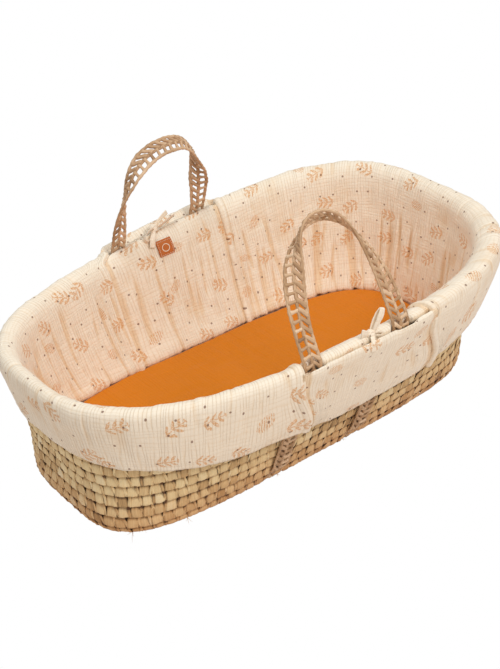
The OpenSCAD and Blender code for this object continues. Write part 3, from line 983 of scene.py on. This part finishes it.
def liner_piece(name, from_s, to_s, section, seed, lumps, creases, material, raised=0.0,
                slant=(0.0, 0.0), inner_slant=(0.0, 0.0)):
    """A padded piece of the liner between two distances along the rim.
    lumps is how deep its soft waves are, and raised lifts its end hems over its neighbours.
    slant shifts the lower corner of its skirt along the rim, at its start and its end, and
    inner_slant the edge of its inner panel."""
    step, hem = 2.4 * MM, 2.5 * MM
    turn = np.linspace(0, np.pi / 2, 6)[:-1]
    inside = np.linspace(from_s + hem, to_s - hem, int((to_s - from_s) / step))
    s = np.concatenate([from_s + hem * (1 - np.cos(turn)), inside,
                        (to_s - hem * (1 - np.cos(turn)))[::-1]])
    fullness = np.concatenate([np.sin(turn), np.ones(len(inside)), np.sin(turn)[::-1]])
    reach = 80 * MM
    at_start, at_end = smoothstep(from_s + reach, from_s, s), smoothstep(to_s - reach, to_s, s)
    points, rear, centre, is_inner, is_outer = swept(
        section, s, fullness, slant[0] * at_start + slant[1] * at_end,
        inner_slant[0] * at_start + inner_slant[1] * at_end)

    # ss runs along the rim and vv down the cloth, from the edge where its section starts.
    v = running_length(points[:, points.shape[1] // 2])[:, None]
    span = v[-1, 0]
    ss, vv = s[None, :] + 0 * v, v + 0 * s[None, :]
    normal = unit(np.cross(np.gradient(points, axis=1), np.gradient(points, axis=0)))
    normal = normal * np.sign(np.sum(normal * (points - centre), -1) + 1e-12)[..., None]

    # Gathers, waves and creases.
    ribs = noise(ss / (8 * MM) + 0.6 * noise(ss / 0.05, vv / 0.05, seed), vv / 0.1, seed + 1)
    inner = smoothstep(0.62 * span, 0.4 * span, vv) * is_inner
    disp = (0.45 + 0.9 * inner) * MM * ribs
    disp = disp + 0.35 * MM * noise(ss / (22 * MM), vv / (7 * MM), seed + 7)
    disp = disp + lumps * noise(ss / 0.045, vv / 0.06, seed + 2)
    disp = disp + 0.4 * lumps * noise(ss / 0.018, vv / 0.03, seed + 3)
    folds = 0 * disp
    for start, end, width, depth in creases:
        folds = folds + crease(ss, vv, (from_s + start[0], start[1] * span),
                               (from_s + end[0], end[1] * span), width * MM, depth * MM)
    # The tone is painted shade, darker in the valleys of the creases and the cloth's dips.
    tone = np.clip(0.5 + (folds + 0.5 * disp) / (3.4 * MM), 0, 1)
    disp = disp + np.clip(folds, -4 * MM, 3 * MM)

    # The skirt's stitched hem, and the end seams: on top with a stitch line, or tucked under.
    if is_outer:
        hem_line = np.exp(-((span - vv - 9 * MM) / (1.6 * MM)) ** 2)
        pucker = noise(ss / (6 * MM), vv * 0, seed + 5) * smoothstep(20 * MM, 6 * MM, span - vv)
        disp = disp - 1.1 * MM * hem_line + 0.5 * MM * pucker
    from_end = np.minimum(ss - from_s, to_s - ss)
    if raised:
        seam_line = np.exp(-((from_end - 12 * MM) / (1.8 * MM)) ** 2)
        # Painted shade along the stitch line.
        tone = tone - 0.25 * seam_line
        disp = disp - 1.3 * MM * seam_line
    else:
        under = smoothstep(19 * MM, 8 * MM, from_end)
        # Painted shadow where the neighbouring piece's end lies over this one.
        tone = tone - 0.8 * under
        disp = disp - 2.4 * MM * under
    tucked = smoothstep(0, 30 * MM, vv) if is_inner else 1
    disp = disp * tucked * fullness
    disp = disp + raised * tucked * smoothstep(20 * MM, 5 * MM, from_end) * fullness ** 0.5
    points = points + normal * disp[..., None]

    loop = np.concatenate([points, rear[::-1]]).transpose(1, 0, 2)
    back_v = span + np.linspace(0.01, 0.4, len(rear))
    places = pairs(np.concatenate([v[:, 0], back_v, [0.0]]), s)[..., ::-1]
    tone = np.concatenate([tone, np.full(rear.shape[:2], 0.5)]).T
    shell = Shell()
    shell.grid(loop, places, tone, closed=True)
    return shell.build(name + "_cloth", material, "basket", [name])


# --- ribbons, bows and tag --------------------------------------------------------------------


def ribbon(shell, points, way, half_width, half_depth=1.1 * MM):
    """A flat tie through points in mm. way is the width direction in mm space."""
    knots_mm = np.array(points, float)
    w = even_places(knots_mm, 1.5)
    line = catmull(knots_mm, w) * MM
    tangent = unit(np.gradient(line, axis=0))
    widths = np.interp(w, np.arange(len(knots_mm)), np.broadcast_to(half_width, len(knots_mm))) * MM
    ways = catmull(np.broadcast_to(np.array(way, float), knots_mm.shape).copy(), w)
    side = unit(ways - tangent * np.sum(ways * tangent, -1, keepdims=True))
    normal = np.cross(tangent, side)
    fold = 1 + 0.12 * noise(w * 3, w * 0, len(points))
    tube(shell, line, side, normal, widths * fold, half_depth, sides=12)


def bow(x, side, loops, material):
    """A tied bow across the liner's groove, from loops in the bow's own frame."""
    here, ahead = (wall_at(np.array(rim_angle(p, side)), wall_top(p), 10 * MM)
                   for p in (x, x + 5 * MM))
    z_axis = np.array((0, 0, 1.0))
    x_axis = unit(ahead - here)
    y_axis = unit(np.cross(z_axis, x_axis)) * side
    origin = np.array([here[0], here[1], rim_top(x) + 5 * MM])
    shell = Shell()
    for points, way, half_width in loops:
        ribbon(shell, points, way, half_width)
    shell.points = [origin + points @ np.stack([x_axis, y_axis, z_axis])
                    for points in shell.points]
    name = "bow_near" if side == NEAR else "bow_far"
    return shell.build(name + "_tied", material, "basket", [name])


KNOT = [
    ([(-5, 0, -4), (-6, 0, 2), (-2, 0, 6), (4, 0, 5), (6, 0, -1), (2, 0, -5), (-5, 0, -4)],
     (0, 1, 0), 5.0),
    ([(0, -7, -3), (0, -5, 3), (0, 0, 5), (0, 5, 3), (0, 7, -3)], (1, 0, 0), 4.5),
]
NEAR_BOW = KNOT + [
    ([(2, -2, 1), (8, -3, 14), (15, -3, 27), (20, 0, 36), (16, 3, 28), (9, 3, 14), (3, 1, 0)],
     (0.87, 0.1, -0.5), [3, 5, 6, 4.5, 6, 5, 3]),
    ([(-1, 1, 1), (-7, 2, 4), (-13, 2, 7), (-18, 1, 8)], (0.3, 0, 1), [3, 4, 5.5, 7]),
    ([(0, 3, 0), (-3, 9, -1), (-6, 16, -8), (-8, 18, -17)], (1, 0, 0), [3, 3.5, 4, 4.5]),
    ([(2, 1, -1), (9, 3, 0), (15, 5, -1), (17, 6, -4), (11, 7, -4), (4, 4, -2)], (0, 0.6, 0.8),
     [3, 4, 4.5, 3.5, 4, 3]),
]
FAR_BOW = KNOT + [
    ([(1, 0, 2), (11, 1, 7), (21, 2, 12), (32, 2, 17)], (-0.5, 0, 0.87), [3.2, 3.8, 4.4, 4.6]),
    ([(2, -2, 0), (15, -5, 4), (30, -6, 9), (41, -3, 8), (34, 1, 2), (16, 1, -1), (3, 0, -1)],
     (0, -0.6, 0.8), [3.4, 5.5, 7.5, 5.5, 7, 5.5, 3.4]),
    ([(-2, -2, 0), (-12, -7, 4), (-23, -11, 3), (-30, -13, -4), (-25, -15, -10), (-13, -10, -5),
      (-2, -3, -1)], (0, -0.6, 0.8), [3, 5.5, 7, 5.5, 6.5, 5.5, 3]),
    ([(-3, -4, -1), (-11, -13, -2), (-18, -20, -8), (-22, -24, -18)], (1, 0, 0), [3, 4, 5, 5.5]),
]


def label_tag(material, ring_material):
    """The small square tag on the inner flap, with a stitched border and a plain ring."""
    half, depth = 15 * MM, 1.2 * MM
    x = -21 * MM
    middle_z = rim_top(x) - 21.5 * MM
    below_rim = np.array([-40, -36, -27, -18, -12, -6]) * MM
    cloth = np.array([-14, -14, -13.6, -12.6, -10.6, -7.5]) * MM
    shell = Shell()
    across = np.linspace(-1, 1, 13)
    s0 = rim_distance(x, FAR)

    def lay(a, b, off):
        """A point of the tag: a along the rim, b upwards, off above the cloth."""
        z = middle_z + 0.8 * b
        surface = np.interp(z - rim_top(x), below_rim, cloth)
        return wall_at(rim_angle_at(s0 - 1.08 * a), z, surface - 2.0 * MM - off)

    a, b = np.meshgrid(across * half, across * half)
    rounded = 0.35 * MM * (np.abs(a / half) ** 8 + np.abs(b / half) ** 8)
    front = lay(a, b, depth - rounded + 0.3 * MM * noise(a / 0.008, b / 0.008, 3))
    rear = lay(a, b, -0.2 * MM + 0 * a)
    shell.grid(front, np.stack([a, b], -1))
    shell.grid(rear, np.stack([a, b], -1))
    for edge in (0, -1):
        shell.grid(np.stack([front[edge], rear[edge]]), np.stack([a[:2], b[:2]], -1))
        shell.grid(np.stack([front[:, edge], rear[:, edge]]), np.stack([a[:2], b[:2]], -1))
    shell.build("label_tag_patch", material, "basket", ["label_tag"])

    marks = Shell()
    theta = np.linspace(0, 2 * np.pi, 41)
    ring = lay(7 * MM * np.cos(theta), 7 * MM * np.sin(theta), depth + 0.1 * MM)
    tangent = unit(np.gradient(ring, axis=0))
    out = unit(lay(0 * theta, 0 * theta, 2 * MM) - lay(0 * theta, 0 * theta, 1 * MM))
    tube(marks, ring, np.cross(tangent, out), out, 0.8 * MM, 0.35 * MM, sides=6)
    stitch = 2.2 * MM
    for side in range(4):
        for place in np.arange(-12, 12.1, 3.4) * MM:
            ends = np.array([place - stitch / 2, place, place + stitch / 2])
            inset = np.full(3, (12.8 if side % 2 else -12.8) * MM)
            spot = (ends, inset) if side < 2 else (inset, ends)
            line = lay(*spot, depth + 0.15 * MM)
            way = unit(np.gradient(line, axis=0))
            tube(marks, line, np.cross(way, out[:3]), out[:3], 0.3 * MM, 0.25 * MM, sides=5)
    marks.build("label_tag_marks", ring_material, "basket")


# --- mattress ---------------------------------------------------------------------------------


def mattress_loop(t, grow, z, share=1.0):
    """A ring of the mattress grown by grow, at height z, drawn in to a share of its size."""
    u = angle_share(t)
    side = np.where(np.sin(t) < 0, NEAR, FAR)
    x = BASE_SHIFT + (MATTRESS_HALF_LENGTH + grow) * u * share
    y = side * (MATTRESS_HALF_WIDTH + grow) * outline(u, MATTRESS_POWER) * share
    return np.stack([x, y, z + 0 * x], -1)


def mattress_angles(count):
    """Angles of count even places round the mattress."""
    t, length = ring_table(lambda t: mattress_loop(t, 0, 0))
    return np.interp(np.linspace(0, length[-1], count + 1)[:-1], length, t)


def foam(material):
    """The mattress: a block with rounded edges, hidden by its sheet."""
    t = mattress_angles(200)
    rows = [mattress_loop(t, -8 * MM, MATTRESS_BOTTOM + 0.3 * MM, share)
            for share in (0.02, 0.5, 0.9, 1)]
    for grow, z in ((-3, 18), (-1.2, 26), (-0.6, 38), (-0.8, 56), (-3, 63.5), (-8, 67)):
        rows.append(mattress_loop(t, grow * MM, z * MM))
    rows += [mattress_loop(t, -8 * MM, MATTRESS_TOP - 0.6 * MM, share)
             for share in (0.9, 0.5, 0.02)]
    points = np.stack(rows)
    places = pairs(np.arange(201) * 0.01, np.arange(len(rows)) * 0.02)
    shell = Shell()
    shell.grid(points, places, closed=True, capped=True)
    return shell.build("mattress_foam", material, "mattress", ["mattress"])


def fitted_sheet(material):
    """Muslin pulled over the mattress and turned in underneath."""
    count = 720
    t = mattress_angles(count)
    top = MATTRESS_TOP + 1.6 * MM
    shares = np.concatenate([np.linspace(0, 0.9, 60), np.linspace(0.912, 1, 10)])
    profile = [(-6 * MM, top, share) for share in shares]
    bend = np.linspace(0, np.pi / 2, 8)[1:]
    profile += [((-6 + 7.6 * np.sin(a)) * MM, top - 8 * MM * (1 - np.cos(a)), 1) for a in bend]
    profile += [(1.6 * MM, z * MM, 1) for z in np.linspace(57, 27, 10)]
    profile += [((1.6 - 9 * (1 - np.cos(a))) * MM, (24 - 11 * np.sin(a)) * MM, 1) for a in bend]
    profile += [(-12 * MM, 12.9 * MM, 1), (-25 * MM, 12.9 * MM, 1), (-42 * MM, 12.9 * MM, 1)]
    rows = np.stack([mattress_loop(t, grow, z, share) for grow, z, share in profile])
    normal = unit(np.cross(np.gradient(rows, axis=1), np.gradient(rows, axis=0)))
    normal = normal * np.sign(normal[5, 5, 2])
    drop = running_length(rows[:, 0])[:, None]
    edge_row = len(shares)
    extra = np.maximum(0, drop - drop[edge_row])[..., None]
    outward = unit(rows[edge_row, :, :2] - np.array([BASE_SHIFT, 0]))
    flat = np.where(extra > 0, rows[edge_row, :, :2] + outward * extra, rows[..., :2])
    x, y = flat[..., 0], flat[..., 1]
    disp = 0.5 * MM * noise(x / 0.012, y / 0.05, 5) + 0.5 * MM * noise(x / 0.05, y / 0.014, 6)
    disp = disp + 1.2 * MM * noise(x / 0.09, y / 0.07, 7)
    side = smoothstep(0, 20 * MM, extra[..., 0])
    around = np.arange(count) / count * 110
    disp = disp * (1 - 0.5 * side) + 0.7 * MM * side * noise(around, drop / 0.04, 8)
    normal[0] = (0, 0, 1)
    disp[0] = disp[1].mean()
    outer = rows + normal * np.clip(disp, -1.0 * MM, 1.6 * MM)[..., None]
    shell = Shell()
    places = np.concatenate([flat, flat[:, :1]], 1)
    shell.grid(outer, places, closed=True)
    return shell.build("fitted_sheet_cloth", material, "mattress",
                       ["fitted_sheet"])


# --- the basket -------------------------------------------------------------------------------


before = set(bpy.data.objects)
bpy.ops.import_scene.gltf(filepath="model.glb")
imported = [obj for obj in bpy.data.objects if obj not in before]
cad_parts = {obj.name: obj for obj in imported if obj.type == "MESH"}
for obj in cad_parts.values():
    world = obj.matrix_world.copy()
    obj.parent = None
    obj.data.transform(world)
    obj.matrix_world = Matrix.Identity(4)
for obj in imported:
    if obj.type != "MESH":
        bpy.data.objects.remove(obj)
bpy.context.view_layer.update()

straw = palm_material("palm_leaf", [(0.0, srgb(92, 60, 34)), (0.3, srgb(212, 176, 124)),
                                    (0.62, srgb(246, 222, 172)), (1.0, srgb(253, 240, 208))],
                      srgb(244, 208, 184))
strap_straw = palm_material("palm_strap", [(0.0, srgb(118, 82, 56)), (0.4, srgb(188, 150, 112)),
                                           (0.7, srgb(226, 192, 156)), (1.0, srgb(248, 224, 194))],
                            srgb(230, 200, 180))
cream = muslin_material("printed_muslin", srgb(252, 240, 221), srgb(238, 213, 178),
                        srgb(224, 160, 92), srgb(124, 82, 62))
tie_cloth = muslin_material("tie_muslin", srgb(252, 238, 218), srgb(240, 214, 184), depth=0.4)
mustard = muslin_material("mustard_muslin", srgb(214, 125, 24), srgb(204, 113, 16), depth=0.4)
foam_white = plain_material("foam_white", srgb(242, 238, 228), 0.95, 300)
tag_leather = plain_material("tag_orange", srgb(206, 116, 54), 0.6, 800)

for i in range(1, COURSES + 1):
    course(i, straw)
base_mat(straw)
rim_binding(straw)
loose_fibres(straw)
for i in (FOOT, HEAD):
    wall_strap(i, strap_straw)
handle(NEAR, height=184 * MM, lean=32, sway=6 * MM, squareness=2.13, roll=-122,
       rise=(0.06, 0.45), fall=(0.45, 1.0), material=strap_straw)
handle(FAR, height=158 * MM, lean=12, sway=0, squareness=2.5, roll=-108,
       rise=(-0.05, 0.4), fall=(0.74, 1.02), material=strap_straw)

near_foot, near_head = (rim_distance(x, NEAR) for x in SEAM_X[NEAR])
far_foot, far_head = (rim_distance(x, FAR) for x in SEAM_X[FAR])
# Main folds: start and end as (m along the piece, share down it), width and depth in mm.
foot_folds = [((0.20, 0.05), (0.26, 0.5), 8, 3.6), ((0.27, 0.02), (0.30, 0.4), 7, 3.0),
              ((0.36, 0.05), (0.33, 0.45), 8, 3.0), ((0.62, 0.05), (0.60, 0.42), 8, 3.6),
              ((0.70, 0.05), (0.66, 0.45), 7, 3.0)]
head_folds = [((0.16, 0.05), (0.2, 0.45), 7, 3.0), ((0.24, 0.02), (0.25, 0.5), 8, 3.6),
              ((0.34, 0.03), (0.36, 0.46), 7, 3.0), ((0.5, 0.03), (0.5, 0.48), 7, 3.2),
              ((0.58, 0.03), (0.6, 0.45), 7, 3.6), ((0.68, 0.05), (0.66, 0.5), 8, 3.6)]
foot_folds += crumple(61, near_foot - far_foot, 16 * MM, 0.02, 0.6, 1.8)
foot_folds += crumple(62, near_foot - far_foot, 40 * MM, 0.55, 0.95, 0.9)
head_length = far_head + RIM_LENGTH - near_head
head_folds += crumple(63, head_length, 13 * MM, 0.02, 0.6, 2.1)
head_folds += crumple(64, head_length, 40 * MM, 0.55, 0.95, 0.9)
liner_piece("liner_foot", far_foot - LAP, near_foot + LAP, full_section, 11, 1.3 * MM, foot_folds,
            cream, raised=4.0 * MM, slant=(0.0, SEAM_SLANT), inner_slant=(INNER_SEAM_SHIFT, 0.0))
liner_piece("liner_head", near_head - RIM_LENGTH - LAP, far_head + LAP, full_section, 23, 1.3 * MM,
            head_folds, cream, raised=4.0 * MM, slant=(HEAD_SEAM_SLANT, 0.0))
near_ends, far_ends = (near_foot + GAP, near_head - GAP), (far_head + GAP, far_foot - GAP)
near_length, far_length = near_ends[1] - near_ends[0], far_ends[1] - far_ends[0]
liner_piece("liner_near_inner", *near_ends, inner_flap(NEAR, 1.0), 31, 1.2 * MM,
            crumple(65, near_length, 18 * MM, 0.1, 0.95, 1.5), cream)
liner_piece("liner_near_outer", *near_ends, outer_flap(NEAR, 1.0, 1), 37, 1.0 * MM,
            crumple(66, near_length, 36 * MM, 0.05, 0.9, 0.9), cream,
            slant=(SEAM_SLANT, HEAD_SEAM_SLANT))
liner_piece("liner_far_inner", *far_ends, inner_flap(FAR, 0.35), 43, 1.5 * MM,
            crumple(67, far_length, 15 * MM, 0.02, 0.95, 1.6), cream,
            inner_slant=(0.0, INNER_SEAM_SHIFT))
liner_piece("liner_far_outer", *far_ends, outer_flap(FAR, 0.0, 12), 47, 1.0 * MM,
            crumple(68, far_length, 36 * MM, 0.05, 0.9, 0.9), cream)
bow(16 * MM, NEAR, NEAR_BOW, tie_cloth)
bow(-24 * MM, FAR, FAR_BOW, tie_cloth)
label_tag(tag_leather, tie_cloth)
foam(foam_white)
sheet = fitted_sheet(mustard)


# --- light and camera -------------------------------------------------------------------------


scene = bpy.context.scene
scene.view_settings.view_transform = "Standard"

world = bpy.data.worlds.new("studio")
world.use_nodes = True
scene.world = world
tree = world.node_tree
seen = tree.nodes["Background"]
seen.inputs["Color"].default_value = (1, 1, 1, 1)
seen.inputs["Strength"].default_value = 1.0
fill = tree.nodes.new("ShaderNodeBackground")
fill.inputs["Color"].default_value = (1.0, 0.99, 0.98, 1)
fill.inputs["Strength"].default_value = 0.5
path = tree.nodes.new("ShaderNodeLightPath")
chosen = tree.nodes.new("ShaderNodeMixShader")
tree.links.new(path.outputs["Is Camera Ray"], chosen.inputs[0])
tree.links.new(fill.outputs[0], chosen.inputs[1])
tree.links.new(seen.outputs[0], chosen.inputs[2])
tree.links.new(chosen.outputs[0], tree.nodes["World Output"].inputs["Surface"])


def soft_light(name, position, target, width, power, colour):
    """A round area light that faces a target."""
    lamp = bpy.data.lights.new(name, "AREA")
    lamp.color = colour
    lamp.shape = "DISK"
    lamp.size = width
    lamp.energy = power
    holder = add_object(name, lamp)
    holder.location = position
    holder.rotation_euler = (Vector(target) - Vector(position)).to_track_quat("-Z", "Y").to_euler()


soft_light("key", (0.1, -1.9, 2.3), (0, 0, 0.15), 1.1, 28, (1.0, 0.94, 0.9))
soft_light("top", (-0.5, 0.3, 2.6), (0, 0, 0.1), 1.2, 18, (0.95, 1.0, 1.0))

floor_mesh = bpy.data.meshes.new("floor")
floor_mesh.from_pydata([(-4, -4, 0), (4, -4, 0), (4, 4, 0), (-4, 4, 0)], [], [(0, 1, 2, 3)])
floor = add_object("floor", floor_mesh)
floor.location.z = -0.5 * MM
floor.visible_camera = False
floor_paint = bpy.data.materials.new("floor_white")
floor_paint.use_nodes = True
paint = floor_paint.node_tree.nodes["Principled BSDF"]
paint.inputs["Base Color"].default_value = (0.85, 0.75, 0.68, 1)
floor_mesh.materials.append(floor_paint)

eye = Vector((-1.0830, -1.2836, 1.2160))
target = Vector((0, 0, 0.13))
lens = bpy.data.cameras.new("camera")
lens.lens = 66.8
lens.sensor_width = 36
lens.sensor_fit = "AUTO"
lens.shift_x = -5.3 / 669
lens.shift_y = 13.0 / 669
camera = add_object("camera", lens)
camera.location = eye
camera.rotation_euler = (target - eye).to_track_quat("-Z", "Y").to_euler()
scene.camera = camera
